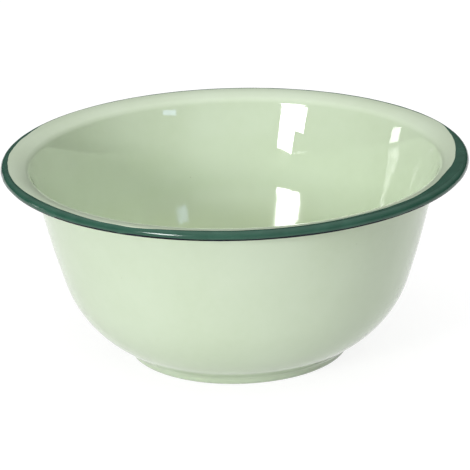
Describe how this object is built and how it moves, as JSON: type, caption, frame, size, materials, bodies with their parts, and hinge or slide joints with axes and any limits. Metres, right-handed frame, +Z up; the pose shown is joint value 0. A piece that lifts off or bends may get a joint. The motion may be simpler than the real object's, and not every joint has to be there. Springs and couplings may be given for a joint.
{
  "type": "enamel basin bowl",
  "caption": "Round pressed-steel bowl with a stepped foot, a flared lip and a hollow curled rim, enamelled pale green with a dark green rim, for washing, mixing and serving.",
  "frame": {"origin": "on the bowl's axis, in the plane of the ring that the foot rests on", "axes": "+Z up along the bowl's axis, towards its mouth; +X and +Y are free, because the bowl is round"},
  "size_m": [0.26, 0.26, 0.113],
  "materials": {
    "sheet_steel": "satin",
    "ground_enamel": "gloss",
    "cover_enamel": "gloss",
    "edging_enamel": "gloss"
  },
  "bodies": {
    "root": {"steel_shell": "sheet_steel", "ground_coat_inside": "ground_enamel", "ground_coat_outside": "ground_enamel", "interior_cover_coat": "cover_enamel", "exterior_cover_coat": "cover_enamel", "rim_edging_enamel": "edging_enamel"}
  },
  "joints": []
}
